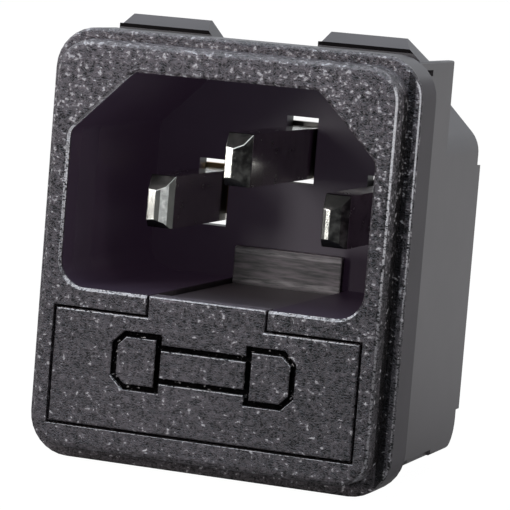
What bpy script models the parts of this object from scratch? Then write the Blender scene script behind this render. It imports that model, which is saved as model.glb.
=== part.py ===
"""Power entry module: a mains inlet with a fuse drawer, in one snap-in housing.

The origin is on the flange's back, where it meets the panel just below the cut-out. X runs to the right,
Y into the panel and Z up, so the bezel faces -Y. Heights below are measured from the middle of the
cut-out, and the datum empty lifts everything from there. Every length is in metres.
"""
from math import asin, cos, degrees, pi, radians, sin, sqrt, tan

import bmesh
import bpy
from mathutils import Matrix, Vector

MM = 0.001

# Gaps between pieces
GAP = 0.3 * MM
CAP_GAP = 0.1 * MM

# Panel cut-out collar and housing walls
COLLAR_DEPTH = 8.6 * MM
COLLAR_CORNER = 0.15 * MM
COLLAR_HEADROOM = 2.49 * MM
COLLAR_SILL = 1.725 * MM
COLLAR_STEP = 0.35 * MM
COLLAR_STEP_RIM = 0.5 * MM
TUNNEL_WALL = 0.83 * MM
INLET_WALL = 1.07 * MM
SIDE_WALL = 1.15 * MM
TOP_WALL = 1.27 * MM
CHAMFER_WALL = 1.32 * MM
BULKHEAD = 1.5 * MM
REAR_SKIRT = 3.57 * MM
SHROUD_CORNER = 2.4 * MM
BODY_CORNER = 0.2 * MM
BACK_EDGE_RADIUS = 2.2 * MM

# Flange and the bezel raised on it
FLANGE_SIDE = 1.4 * MM
FLANGE_ABOVE = 0.44 * MM
FLANGE_BELOW = 1.35 * MM
FLANGE_THICKNESS = 3.6 * MM
FLANGE_CORNER = 3.15 * MM
FLANGE_EDGE = 0.35 * MM
DATUM_BELOW = 0.5 * MM
BEZEL_MARGIN = 0.95 * MM
BEZEL_TOP_MARGIN = 0.78 * MM
BEZEL_RISE = 2.1 * MM
BEZEL_DRAFT = 0.1 * MM
BEZEL_EDGE = 0.5 * MM
BEZEL_CORNER = 2.6 * MM

# Inlet cavity
INLET_HEIGHT = 16.26 * MM
INLET_DEPTH = 18.03 * MM
INLET_CHAMFER = 4.7 * MM
INLET_CORNER = 2.0 * MM
INLET_CHAMFER_CORNER = 1.2 * MM
INLET_LIP = 0.2 * MM

# Contact blades
PIN_WIDTH = 2.0 * MM
PIN_HEIGHT = 4.0 * MM
PIN_PITCH = 14.0 * MM
PIN_DROP = 1.78 * MM
EARTH_RAISE = 4.0 * MM
PIN_REACH = 11.23 * MM
EARTH_EXTRA = 2.85 * MM
TIP_SIDE = 0.62 * MM
TIP_TOP = 0.5 * MM
TIP_LENGTH = 0.35 * MM
SLOT_HEIGHT = 5.6 * MM
RIVET_RADIUS = 0.6 * MM
RIVET_HEAD_RADIUS = 1.15 * MM
RIVET_HEAD = 0.5 * MM

# Rear terminals
TAB_WIDTH = 4.8 * MM
TAB_SHEET = 0.8 * MM
TAB_LENGTH = 8.6 * MM
TAB_FOOT = 3.2 * MM
TAB_BEND = 0.4 * MM
TAB_CORNER = 0.6 * MM
TAB_HOLE_RADIUS = 0.7 * MM
TAB_HOLE_INSET = 2.6 * MM
RIB_CLEAR = 0.8 * MM
RIB_THICKNESS = 0.8 * MM
RIB_REACH = 2.52 * MM
RIB_INSET = 0.4 * MM

# Snap latches on the collar, and the relief slot beside each upper one
LATCH_RISE = 1.52 * MM
LATCH_BASE = 0.82 * MM
LATCH_STEP = 0.3 * MM
LEFT_LATCH_INSET = 2.15 * MM
LEFT_LATCH_WIDTH = 6.2 * MM
LEFT_LATCH_RUN = 1.5 * MM
RIGHT_LATCH_WIDTH = 5.85 * MM
RIGHT_LATCH_RUN = 2.05 * MM
LATCH_START = 0.5 * MM
LATCH_RIDGE = 2.5 * MM
LATCH_END = 2.9 * MM
LEAD_IN_INNER = 5.4 * MM
LEAD_IN_OUTER = 9.0 * MM
RELIEF_LENGTH = 3.3 * MM
RELIEF_WIDTH = 0.45 * MM
RELIEF_DROP = 0.85 * MM
REBATE_DEPTH = 0.3 * MM
REBATE_HEIGHT = 0.45 * MM
REBATE_LENGTH = 11.2 * MM

# Strips that make the side walls deeper behind the terminals
SIDE_STRIP_SINK = 1.93 * MM
SIDE_STRIP_FOOT = 2.85 * MM
SIDE_STRIP_DEPTH = 1.05 * MM
SIDE_STRIP_INSET = 0.06 * MM

# Fuse drawer
DRAWER_HEIGHT = 8.33 * MM
DRAWER_SHOULDER = 1.735 * MM
DRAWER_FACE = 1.6 * MM
DRAWER_EDGE = 0.18 * MM
DRAWER_TAB_WIDTH = 8.96 * MM
RAIL_DROP = 0.37 * MM
LUG_HEIGHT = 3.0 * MM
LUG_THICKNESS = 0.6 * MM
LUG_EDGE = 0.12 * MM
TRAY_SIDE_GAP = 0.32 * MM
POCKET_FRONT_WALL = 0.2 * MM
POCKET_BACK_WALL = 0.73 * MM
NIB_SIZE = 0.45 * MM
NIB_LENGTH = 5.0 * MM
CORE_SHARE = 0.4

# Engraved fuse sign
SIGN_CENTRE = 0.93 * MM
SIGN_WIDTH = 14.0 * MM
SIGN_CAP_WIDTH = 3.45 * MM
SIGN_CAP_HEIGHT = 3.95 * MM
SIGN_TUBE_HEIGHT = 2.47 * MM
SIGN_CHAMFER = 0.8 * MM
SIGN_GROOVE = 0.42 * MM
SIGN_DEPTH = 0.3 * MM

# Cartridge fuses
FUSE_LENGTH = 20.0 * MM
FUSE_SIDE_ROOM = 1.82 * MM
FUSE_CAP_RADIUS = 2.6 * MM
FUSE_CAP_LENGTH = 5.2 * MM
FUSE_CAP_WALL = 0.2 * MM
FUSE_GLASS_WALL = 0.55 * MM
FUSE_WIRE_RADIUS = 0.15 * MM

# Spring clips
CLIP_WIDTH = 3.4 * MM
CLIP_SHEET = 0.5 * MM
CLIP_INSET = 2.0 * MM
CLIP_ANGLE = 105.0
CLIP_FLARE = 0.9 * MM
LINK_INSET = 0.3 * MM
LINK_CLEAR = 0.45 * MM
LINK_FOOT = 1.25 * MM

# Facets
CORNER_STEPS = 8
ROUND_STEPS = 24
WIRE_STEPS = 8
CLIP_STEPS = 10
OVERSHOOT = 1.0 * MM
OVERLAP = 0.2 * MM

# Widths, heights and depths that follow from the sizes above
DRAWER_WIDTH = FUSE_LENGTH + 2 * FUSE_SIDE_ROOM
COLLAR_WIDTH = DRAWER_WIDTH + 2 * (GAP + TUNNEL_WALL)
INLET_WIDTH = COLLAR_WIDTH - 2 * INLET_WALL
COLLAR_HEIGHT = COLLAR_HEADROOM + INLET_HEIGHT + DRAWER_SHOULDER + DRAWER_HEIGHT + COLLAR_SILL
FLANGE_HALF = COLLAR_WIDTH / 2 + FLANGE_SIDE
FLANGE_TOP = COLLAR_HEIGHT / 2 + FLANGE_ABOVE
FLANGE_BOTTOM = -COLLAR_HEIGHT / 2 - FLANGE_BELOW
FRONT = -(FLANGE_THICKNESS + BEZEL_RISE)
CAVITY_BACK = FRONT + INLET_DEPTH
BULKHEAD_BACK = CAVITY_BACK + BULKHEAD
BODY_BACK = BULKHEAD_BACK + REAR_SKIRT
INLET_TOP = COLLAR_HEIGHT / 2 - COLLAR_HEADROOM
INLET_FLOOR = INLET_TOP - INLET_HEIGHT
INLET_CENTRE = (INLET_TOP + INLET_FLOOR) / 2
PIN_LEVEL = INLET_CENTRE - PIN_DROP
EARTH_LEVEL = PIN_LEVEL + EARTH_RAISE
DRAWER_TOP = INLET_FLOOR - DRAWER_SHOULDER
DRAWER_BOTTOM = DRAWER_TOP - DRAWER_HEIGHT
DRAWER_CENTRE = (DRAWER_TOP + DRAWER_BOTTOM) / 2
TUNNEL_TOP = DRAWER_TOP + GAP
TRAY_BACK = CAVITY_BACK - GAP
TRAY_HALF = DRAWER_WIDTH / 2 - TRAY_SIDE_GAP
RAIL_TOP = INLET_FLOOR - RAIL_DROP
NOTCH_HALF = DRAWER_TAB_WIDTH / 2 + GAP
SHEET_FRONT = BULKHEAD_BACK + GAP
CLIP_RADIUS = FUSE_CAP_RADIUS + GAP
CLIP_CENTRE = FUSE_LENGTH / 2 - CLIP_INSET
POCKET_HALF = FUSE_CAP_RADIUS + GAP
SPARE_CENTRE = FRONT + DRAWER_FACE + POCKET_FRONT_WALL + POCKET_HALF
FUSE_CENTRE = TRAY_BACK - POCKET_BACK_WALL - POCKET_HALF
RIB_OFFSET = (PIN_PITCH - TAB_WIDTH - RIB_THICKNESS) / 2 - RIB_CLEAR
RIB_LOW = PIN_LEVEL - RIB_REACH


def clear_scene():
    for item in list(bpy.data.objects):
        bpy.data.objects.remove(item)


def make_material(name, colour, roughness, metallic=0.0, alpha=1.0):
    material = bpy.data.materials.new(name)
    material.use_nodes = True
    shader = material.node_tree.nodes["Principled BSDF"]
    shader.inputs["Base Color"].default_value = (*colour, 1.0)
    shader.inputs["Roughness"].default_value = roughness
    shader.inputs["Metallic"].default_value = metallic
    shader.inputs["Alpha"].default_value = alpha
    return material


def add_object(name, bm, material=None):
    """Turns a bmesh into an object whose faces point out and whose round sides are shaded smooth."""
    bmesh.ops.remove_doubles(bm, verts=bm.verts, dist=0.0001 * MM)
    bmesh.ops.recalc_face_normals(bm, faces=bm.faces)
    mesh = bpy.data.meshes.new(name)
    bm.to_mesh(mesh)
    bm.free()
    item = bpy.data.objects.new(name, mesh)
    bpy.context.scene.collection.objects.link(item)
    if material:
        mesh.materials.append(material)
        mesh.shade_smooth()
        mesh.set_sharp_from_angle(angle=radians(32))
    return item


def use_as_tool(target, tool, operation):
    """Adds the tool to the target, or cuts it away, with a Boolean that stays live."""
    tool.hide_render = True
    tool.display_type = "WIRE"
    change = target.modifiers.new(tool.name, "BOOLEAN")
    change.operation = operation
    change.solver = "EXACT"
    change.object = tool


def add_to(target, name, bm):
    use_as_tool(target, add_object(name, bm), "UNION")


def cut_from(target, name, bm):
    use_as_tool(target, add_object(name, bm), "DIFFERENCE")


def outline(corners, grow=0.0):
    """Closed outline of a polygon given anticlockwise as (u, v, radius), pushed out by grow.

    Each corner with a radius becomes an arc, on an inward corner too.
    """
    count = len(corners)
    edges = []
    for index in range(count):
        start = Vector(corners[index][:2])
        along = (Vector(corners[(index + 1) % count][:2]) - start).normalized()
        outward = Vector((along.y, -along.x))
        edges.append((start + outward * grow, along, outward))
    points = []
    for index in range(count):
        start, along, outward = edges[index - 1]
        next_start, next_along, _ = edges[index]
        crossing = along.cross(next_along)
        corner = start + along * ((next_start - start).cross(next_along) / crossing)
        side = 1.0 if crossing > 0 else -1.0
        radius = corners[index][2] + grow * side if corners[index][2] else 0.0
        if radius <= 0.0:
            points.append(corner)
            continue
        turn = along.angle(next_along)
        centre = corner - along * radius * tan(turn / 2) - outward * radius * side
        for step in range(CORNER_STEPS + 1):
            spoke = outward.copy()
            spoke.rotate(Matrix.Rotation(side * turn * step / CORNER_STEPS, 2))
            points.append(centre + spoke * radius * side)
    return points


def rectangle(left, right, low, high, radius=0.0):
    return [(left, low, radius), (right, low, radius), (right, high, radius), (left, high, radius)]


def place(point, depth, axis):
    """A point of an outline, put at a depth along the axis that the outline is extruded on."""
    u, v = point
    if axis == "Y":
        return (u, depth, v)
    if axis == "X":
        return (depth, u, v)
    return (u, v, depth)


def loft(bm, rings, axis="Y"):
    """Solid through a row of outlines with equal counts of points, each given with its depth."""
    loops = []
    for depth, points in rings:
        verts = [bm.verts.new(place(point, depth, axis)) for point in points]
        loops.append([bm.edges.new((verts[i - 1], verts[i])) for i in range(len(verts))])
        if len(loops) in (1, len(rings)):
            bm.faces.new(verts)
    for first, second in zip(loops, loops[1:]):
        bmesh.ops.bridge_loops(bm, edges=first + second)


def prism(bm, points, low, high, axis="Y"):
    loft(bm, [(low, points), (high, points)], axis)


def box(bm, x_range, y_range, z_range):
    middle = [(low + high) / 2 for low, high in (x_range, y_range, z_range)]
    size = [high - low for low, high in (x_range, y_range, z_range)]
    scale = Matrix.Diagonal((*size, 1.0))
    return bmesh.ops.create_cube(bm, size=1.0, matrix=Matrix.Translation(middle) @ scale)["verts"]


def cylinder(bm, centre, radius, depth, axis):
    turn = {"X": Matrix.Rotation(pi / 2, 4, "Y"), "Y": Matrix.Rotation(pi / 2, 4, "X"), "Z": Matrix()}[axis]
    bmesh.ops.create_cone(bm, cap_ends=True, segments=ROUND_STEPS, radius1=radius, radius2=radius,
                          depth=depth, matrix=Matrix.Translation(centre) @ turn)


def turned(bm, profile, centre, steps=ROUND_STEPS):
    """Solid turned about a line along X from (x, radius) points, closed unless it ends on the line."""
    verts = [bm.verts.new((centre[0] + x, centre[1], centre[2] + radius)) for x, radius in profile]
    first = 1 if profile[0][1] == 0.0 else 0
    edges = [bm.edges.new((verts[i - 1], verts[i])) for i in range(first, len(verts))]
    bmesh.ops.spin(bm, geom=verts + edges, cent=centre, axis=(1, 0, 0), angle=2 * pi, steps=steps,
                   use_merge=True)


def rounded_edge(start, inset, steps=4):
    """Depth and inset of each ring on a quarter-round edge that begins at a front plane."""
    rings = []
    for step in range(steps + 1):
        angle = pi / 2 * step / steps
        rings.append((start + inset * (1 - sin(angle)), inset * (1 - cos(angle))))
    return rings[::-1]


def inlet_outline(grow=0.0):
    half = INLET_WIDTH / 2
    corners = [(-half, INLET_FLOOR, INLET_CORNER), (half, INLET_FLOOR, INLET_CORNER),
               (half, INLET_TOP - INLET_CHAMFER, INLET_CHAMFER_CORNER),
               (half - INLET_CHAMFER, INLET_TOP, INLET_CHAMFER_CORNER),
               (-half + INLET_CHAMFER, INLET_TOP, INLET_CHAMFER_CORNER),
               (-half, INLET_TOP - INLET_CHAMFER, INLET_CHAMFER_CORNER)]
    return outline(corners, grow)


def shroud_reach():
    """How far X plus Z reaches on the outside of the shroud's slanted walls."""
    inside = INLET_WIDTH / 2 + INLET_TOP - INLET_CHAMFER
    return inside + CHAMFER_WALL * sqrt(2)


def body_outline(grow=0.0):
    """Section of the body behind the collar: straight below, slanted at both upper corners."""
    half, low, top = COLLAR_WIDTH / 2, -COLLAR_HEIGHT / 2, INLET_TOP + TOP_WALL
    corners = [(-half, low, BODY_CORNER), (half, low, BODY_CORNER),
               (half, shroud_reach() - half, SHROUD_CORNER), (shroud_reach() - top, top, SHROUD_CORNER),
               (top - shroud_reach(), top, SHROUD_CORNER), (-half, shroud_reach() - half, SHROUD_CORNER)]
    return outline(corners, grow)


def flange_outline(grow=0.0):
    return outline(rectangle(-FLANGE_HALF, FLANGE_HALF, FLANGE_BOTTOM, FLANGE_TOP, FLANGE_CORNER), grow)


def bezel_outline(grow=0.0):
    half, low, high = FLANGE_HALF - BEZEL_MARGIN, FLANGE_BOTTOM + BEZEL_MARGIN, FLANGE_TOP - BEZEL_TOP_MARGIN
    return outline(rectangle(-half, half, low, high, BEZEL_CORNER), grow)


def pin_places():
    """Name, X, Z and the front of each blade."""
    tip = CAVITY_BACK - PIN_REACH
    return [("line_pin", -PIN_PITCH / 2, PIN_LEVEL, tip),
            ("neutral_pin", PIN_PITCH / 2, PIN_LEVEL, tip),
            ("earth_pin", 0.0, EARTH_LEVEL, tip - EARTH_EXTRA)]


def latch_places():
    """Where each latch starts, where its top ends and where its slanted right end meets the collar."""
    half = COLLAR_WIDTH / 2
    left, right = -half + LEFT_LATCH_INSET, half - RIGHT_LATCH_RUN
    return [(left, left + LEFT_LATCH_WIDTH, left + LEFT_LATCH_WIDTH + LEFT_LATCH_RUN),
            (right - RIGHT_LATCH_WIDTH, right, half)]


def add_latch(bm, start, end, foot, up):
    """One latch: a low block with an upright front, a ramp above it and a slanted right end."""
    base = COLLAR_HEIGHT / 2
    level = base + LATCH_BASE
    before = len(bm.verts)
    ramp = [(LATCH_START, base - OVERLAP), (LATCH_END, base - OVERLAP), (LATCH_END, base + LATCH_RISE),
            (LATCH_RIDGE, base + LATCH_RISE), (LATCH_START, level)]
    prism(bm, [(y, up * z) for y, z in ramp], start, foot, "X")
    verts = list(bm.verts)[before:]
    for vert in verts:
        if vert.co.x > (start + foot) / 2 and up * vert.co.z > base:
            vert.co.x -= (up * vert.co.z - base) / LATCH_RISE * (foot - end)


def add_latch_step(bm, start, up):
    """The end of the low block that sticks out beside the latch's ramp."""
    base = COLLAR_HEIGHT / 2
    box(bm, (start - LATCH_STEP, start + OVERLAP), (LATCH_START + OVERLAP / 10, LATCH_RIDGE),
        sorted((up * (base - OVERLAP / 2), up * (base + LATCH_BASE - OVERLAP / 10))))


def add_lead_in(bm, side, up):
    """The ramp behind a latch that lets it ride through the panel."""
    base = COLLAR_HEIGHT / 2
    verts = box(bm, (LEAD_IN_INNER, LEAD_IN_OUTER), (LATCH_RIDGE, COLLAR_DEPTH - OVERLAP),
                (base - COLLAR_STEP - OVERLAP / 2, base + LATCH_RISE - OVERLAP))
    for vert in verts:
        if vert.co.z > base and vert.co.y > LATCH_END:
            vert.co.z = base - COLLAR_STEP + OVERLAP / 2
    flip = Matrix.Diagonal((side, 1.0, up, 1.0))
    bmesh.ops.transform(bm, matrix=flip, verts=verts)


def make_housing(material):
    bm = bmesh.new()
    prism(bm, body_outline(), -OVERLAP, BODY_BACK)
    housing = add_object("housing", bm, material)

    bm = bmesh.new()
    half, high = COLLAR_WIDTH / 2, COLLAR_HEIGHT / 2
    prism(bm, outline(rectangle(-half, half, -high, high, COLLAR_CORNER)), -OVERLAP, COLLAR_DEPTH)
    add_to(housing, "collar", bm)
    bm = bmesh.new()
    rim = half - COLLAR_STEP_RIM
    box(bm, (-rim, rim), (LATCH_END, COLLAR_DEPTH + OVERSHOOT), (high - COLLAR_STEP, high + OVERSHOOT))
    cut_from(housing, "collar_step", bm)

    bm = bmesh.new()
    edge = rounded_edge(-FLANGE_THICKNESS, FLANGE_EDGE)
    loft(bm, [(depth, flange_outline(-inset)) for depth, inset in edge] + [(0.0, flange_outline())])
    add_to(housing, "flange", bm)

    bm = bmesh.new()
    edge = rounded_edge(FRONT, BEZEL_EDGE)
    rings = [(depth, bezel_outline(-BEZEL_DRAFT - inset)) for depth, inset in edge]
    loft(bm, rings + [(-FLANGE_THICKNESS + OVERLAP, bezel_outline())])
    add_to(housing, "bezel", bm)

    bm = bmesh.new()
    for start, end, foot in latch_places():
        add_latch(bm, start, end, foot, 1)
        add_latch(bm, start, end, min(foot, half - REBATE_DEPTH), -1)
    add_to(housing, "latches", bm)
    bm = bmesh.new()
    for start, _, _ in latch_places():
        add_latch_step(bm, start, 1)
        add_latch_step(bm, start, -1)
    add_to(housing, "latch_steps", bm)
    bm = bmesh.new()
    for side in (-1, 1):
        for up in (-1, 1):
            add_lead_in(bm, side, up)
    add_to(housing, "lead_ins", bm)

    bm = bmesh.new()
    for side in (-1, 1):
        edge = COLLAR_WIDTH / 2
        reach = sorted((side * (edge - SIDE_STRIP_INSET), side * (edge - SIDE_WALL + SIDE_STRIP_INSET)))
        box(bm, reach, (BODY_BACK - OVERLAP, BODY_BACK + SIDE_STRIP_DEPTH),
            (SIDE_STRIP_FOOT - high, shroud_reach() - edge - SIDE_STRIP_SINK))
    add_to(housing, "side_strips", bm)

    cut_inlet(housing)
    cut_drawer_tunnel(housing)
    cut_rear(housing)
    cut_collar(housing)
    add_ribs(housing)
    return housing


def cut_inlet(housing):
    bm = bmesh.new()
    loft(bm, [(FRONT - OVERSHOOT, inlet_outline(INLET_LIP)), (FRONT, inlet_outline(INLET_LIP)),
              (FRONT + INLET_LIP, inlet_outline()), (CAVITY_BACK, inlet_outline())])
    cut_from(housing, "inlet_cavity", bm)
    bm = bmesh.new()
    half = PIN_WIDTH / 2 + GAP
    for _, x, z, _ in pin_places():
        box(bm, (x - half, x + half), (CAVITY_BACK - OVERSHOOT, BULKHEAD_BACK + OVERSHOOT),
            (z - SLOT_HEIGHT / 2, z + SLOT_HEIGHT / 2))
    cut_from(housing, "pin_slots", bm)


def cut_drawer_tunnel(housing):
    half = DRAWER_WIDTH / 2 + GAP
    bm = bmesh.new()
    box(bm, (-half, half), (FRONT - OVERSHOOT, CAVITY_BACK), (DRAWER_BOTTOM - GAP, TUNNEL_TOP))
    cut_from(housing, "drawer_tunnel", bm)
    bm = bmesh.new()
    box(bm, (-NOTCH_HALF, NOTCH_HALF), (FRONT - OVERSHOOT, CAVITY_BACK),
        (TUNNEL_TOP - OVERLAP, INLET_FLOOR + OVERLAP))
    cut_from(housing, "drawer_notch", bm)
    bm = bmesh.new()
    reach = CLIP_WIDTH / 2 + GAP
    for side in (-1, 1):
        x = side * CLIP_CENTRE
        box(bm, (x - reach, x + reach), (CAVITY_BACK - OVERSHOOT, BULKHEAD_BACK + OVERSHOOT),
            (DRAWER_CENTRE - CLIP_SHEET / 2 - GAP, DRAWER_CENTRE + CLIP_SHEET / 2 + GAP))
    cut_from(housing, "clip_slots", bm)


def cut_rear(housing):
    """The open space behind the bulkhead, and the round lower edge at the back."""
    bm = bmesh.new()
    prism(bm, body_outline(-SIDE_WALL), BULKHEAD_BACK, BODY_BACK + OVERSHOOT)
    cut_from(housing, "rear_space", bm)
    low = -COLLAR_HEIGHT / 2
    arc = []
    for step in range(CORNER_STEPS + 1):
        angle = pi / 2 * step / CORNER_STEPS
        arc.append((BODY_BACK - BACK_EDGE_RADIUS * (1 - cos(angle)),
                    low + BACK_EDGE_RADIUS * (1 - sin(angle))))
    far, under = BODY_BACK + OVERSHOOT, low - OVERSHOOT
    bm = bmesh.new()
    prism(bm, [(far, under), (far, arc[0][1])] + arc + [(arc[-1][0], under)],
          -COLLAR_WIDTH, COLLAR_WIDTH, "X")
    cut_from(housing, "back_edge", bm)


def cut_collar(housing):
    """Pockets behind the collar's upper corners, relief slots in its sides and the rebate along its foot."""
    bm = bmesh.new()
    inner = COLLAR_WIDTH / 2 - SIDE_WALL
    top = COLLAR_HEIGHT / 2 - SIDE_WALL
    for side in (-1, 1):
        corner = [(inner, shroud_reach() - inner), (inner, top), (shroud_reach() - top, top)]
        prism(bm, [(side * x, z) for x, z in corner], 0.0, COLLAR_DEPTH + OVERSHOOT)
    cut_from(housing, "corner_pockets", bm)
    bm = bmesh.new()
    slot_top = COLLAR_HEIGHT / 2 - RELIEF_DROP + RELIEF_WIDTH / 2
    low = -COLLAR_HEIGHT / 2
    for side in (-1, 1):
        edge = COLLAR_WIDTH / 2
        reach = sorted((side * (edge - SIDE_WALL - OVERLAP), side * (edge + OVERSHOOT)))
        box(bm, reach, (0.0, RELIEF_LENGTH), (slot_top - RELIEF_WIDTH, slot_top))
        reach = sorted((side * (edge - REBATE_DEPTH), side * (edge + OVERSHOOT)))
        box(bm, reach, (0.0, REBATE_LENGTH), (low - OVERSHOOT, low + REBATE_HEIGHT))
    cut_from(housing, "reliefs", bm)


def add_ribs(housing):
    """Two upright barriers between the rear terminals."""
    bm = bmesh.new()
    for side in (-1, 1):
        x = side * RIB_OFFSET
        box(bm, (x - RIB_THICKNESS / 2, x + RIB_THICKNESS / 2),
            (BULKHEAD_BACK - OVERLAP, BODY_BACK - RIB_INSET),
            (RIB_LOW, INLET_TOP + TOP_WALL - SIDE_WALL + OVERLAP))
    add_to(housing, "ribs", bm)


def face_corners():
    """The drawer's face with the tab that rises to the inlet's edge."""
    half, tab = DRAWER_WIDTH / 2, DRAWER_TAB_WIDTH / 2
    return [(-half, DRAWER_BOTTOM, 0), (half, DRAWER_BOTTOM, 0), (half, DRAWER_TOP, 0), (tab, DRAWER_TOP, 0),
            (tab, INLET_FLOOR, 0), (-tab, INLET_FLOOR, 0), (-tab, DRAWER_TOP, 0), (-half, DRAWER_TOP, 0)]


def make_drawer(material):
    bm = bmesh.new()
    rings = [(depth, outline(face_corners(), -inset)) for depth, inset in rounded_edge(FRONT, DRAWER_EDGE)]
    loft(bm, rings + [(FRONT + DRAWER_FACE, outline(face_corners()))])
    drawer = add_object("fuse_drawer", bm, material)

    tab = DRAWER_TAB_WIDTH / 2
    behind = FRONT + DRAWER_FACE - OVERLAP
    bm = bmesh.new()
    box(bm, (-TRAY_HALF, TRAY_HALF), (behind, TRAY_BACK), (DRAWER_BOTTOM + OVERLAP, DRAWER_TOP))
    add_to(drawer, "tray", bm)
    bm = bmesh.new()
    box(bm, (-tab, tab), (behind, TRAY_BACK), (DRAWER_TOP - OVERLAP, RAIL_TOP))
    add_to(drawer, "rail", bm)
    bm = bmesh.new()
    lug = rectangle(-tab, tab, RAIL_TOP - OVERLAP, RAIL_TOP + LUG_HEIGHT, 2 * LUG_EDGE)
    edge = rounded_edge(TRAY_BACK - LUG_THICKNESS, LUG_EDGE, 2)
    loft(bm, [(depth, outline(lug, -inset)) for depth, inset in edge] + [(TRAY_BACK, outline(lug))])
    add_to(drawer, "pull_lug", bm)

    cut_fuse_pockets(drawer)
    cut_clip_windows(drawer)
    add_nibs(drawer)
    engrave_sign(drawer)
    return drawer


def cut_fuse_pockets(drawer):
    """A trough for each fuse, open below, and a core-out between the two."""
    half = FUSE_LENGTH / 2 + GAP
    roof = DRAWER_CENTRE + POCKET_HALF
    under = DRAWER_BOTTOM - OVERSHOOT
    bm = bmesh.new()
    for centre in (SPARE_CENTRE, FUSE_CENTRE):
        box(bm, (-half, half), (centre - POCKET_HALF, centre + POCKET_HALF), (under, roof))
    middle = (SPARE_CENTRE + FUSE_CENTRE) / 2
    core = CORE_SHARE * (FUSE_CENTRE - SPARE_CENTRE - 2 * POCKET_HALF) / 2
    box(bm, (-half, half), (middle - core, middle + core), (under, roof))
    cut_from(drawer, "fuse_pockets", bm)


def cut_clip_windows(drawer):
    """Openings in the tray's roof and back for the two spring clips."""
    bm = bmesh.new()
    inner = CLIP_CENTRE - CLIP_WIDTH / 2 - GAP
    outer = CLIP_CENTRE + CLIP_WIDTH / 2 + GAP
    for side in (-1, 1):
        reach = sorted((side * inner, side * outer))
        box(bm, reach, (FUSE_CENTRE - POCKET_HALF, TRAY_BACK + OVERSHOOT),
            (DRAWER_BOTTOM - OVERSHOOT, DRAWER_TOP + OVERSHOOT))
    cut_from(drawer, "clip_windows", bm)


def add_nibs(drawer):
    """Small wedges under each fuse that hold it in its trough."""
    bm = bmesh.new()
    for centre in (SPARE_CENTRE, FUSE_CENTRE):
        for side in (-1, 1):
            wall = centre + side * (POCKET_HALF + OVERLAP)
            tip = centre + side * (POCKET_HALF - NIB_SIZE)
            level = DRAWER_CENTRE - FUSE_CAP_RADIUS
            wedge = [(wall, level - NIB_SIZE), (tip, level), (wall, level + NIB_SIZE)]
            prism(bm, wedge, -NIB_LENGTH / 2, NIB_LENGTH / 2, "X")
    add_to(drawer, "nibs", bm)


def engrave_sign(drawer):
    """The fuse sign: two caps and a tube, as grooves in the drawer's face."""
    level = DRAWER_CENTRE + SIGN_CENTRE
    front, back = FRONT - OVERSHOOT, FRONT + SIGN_DEPTH
    outer, inner = SIGN_WIDTH / 2, SIGN_WIDTH / 2 - SIGN_CAP_WIDTH
    low, high = level - SIGN_CAP_HEIGHT / 2, level + SIGN_CAP_HEIGHT / 2
    for side, name in ((-1, "sign_cap_left"), (1, "sign_cap_right")):
        cap = [(inner, low, 0), (outer - SIGN_CHAMFER, low, 0), (outer, low + SIGN_CHAMFER, 0),
               (outer, high - SIGN_CHAMFER, 0), (outer - SIGN_CHAMFER, high, 0), (inner, high, 0)]
        bm = bmesh.new()
        rings = []
        for depth in (front, back):
            for grow in (SIGN_GROOVE / 2, -SIGN_GROOVE / 2):
                points = [(side * point.x, point.y) for point in outline(cap, grow)]
                rings.append([bm.verts.new(place(point, depth, "Y")) for point in points])
        loops = [[bm.edges.new((ring[i - 1], ring[i])) for i in range(len(ring))] for ring in rings]
        for first, second in ((0, 1), (2, 3), (0, 2), (1, 3)):
            bmesh.ops.bridge_loops(bm, edges=loops[first] + loops[second])
        cut_from(drawer, name, bm)
    bm = bmesh.new()
    for up in (-1, 1):
        middle = level + up * SIGN_TUBE_HEIGHT / 2
        box(bm, (-inner, inner), (front, back), (middle - SIGN_GROOVE / 2, middle + SIGN_GROOVE / 2))
    cut_from(drawer, "sign_tube", bm)


def make_pin(name, x, z, tip, material):
    """A flat blade with a bevelled tip, and behind the bulkhead a rivet with its head."""
    section = rectangle(x - PIN_WIDTH / 2, x + PIN_WIDTH / 2, z - PIN_HEIGHT / 2, z + PIN_HEIGHT / 2)
    tip_section = rectangle(x - PIN_WIDTH / 2 + TIP_SIDE, x + PIN_WIDTH / 2 - TIP_SIDE,
                            z - PIN_HEIGHT / 2 + TIP_TOP, z + PIN_HEIGHT / 2 - TIP_TOP)
    bm = bmesh.new()
    loft(bm, [(tip, outline(tip_section)), (tip + TIP_LENGTH, outline(section)),
              (BULKHEAD_BACK, outline(section))])
    pin = add_object(name, bm, material)
    head_front = SHEET_FRONT + sheet_behind(name) + GAP
    bm = bmesh.new()
    start = BULKHEAD_BACK - OVERLAP
    cylinder(bm, (x, (start + head_front + OVERLAP) / 2, z), RIVET_RADIUS, head_front + OVERLAP - start, "Y")
    add_to(pin, name + "_shank", bm)
    bm = bmesh.new()
    cylinder(bm, (x, head_front + RIVET_HEAD / 2, z), RIVET_HEAD_RADIUS, RIVET_HEAD, "Y")
    add_to(pin, name + "_head", bm)
    return pin


def sheet_behind(name):
    return CLIP_SHEET if name == "line_pin" else TAB_SHEET


def blade_outline(x, start, end):
    """Plan of a push-on terminal blade with its two end corners cut off."""
    half = TAB_WIDTH / 2
    return [(x - half, start), (x + half, start), (x + half, end - TAB_CORNER), (x + half - TAB_CORNER, end),
            (x - half + TAB_CORNER, end), (x - half, end - TAB_CORNER)]


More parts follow.
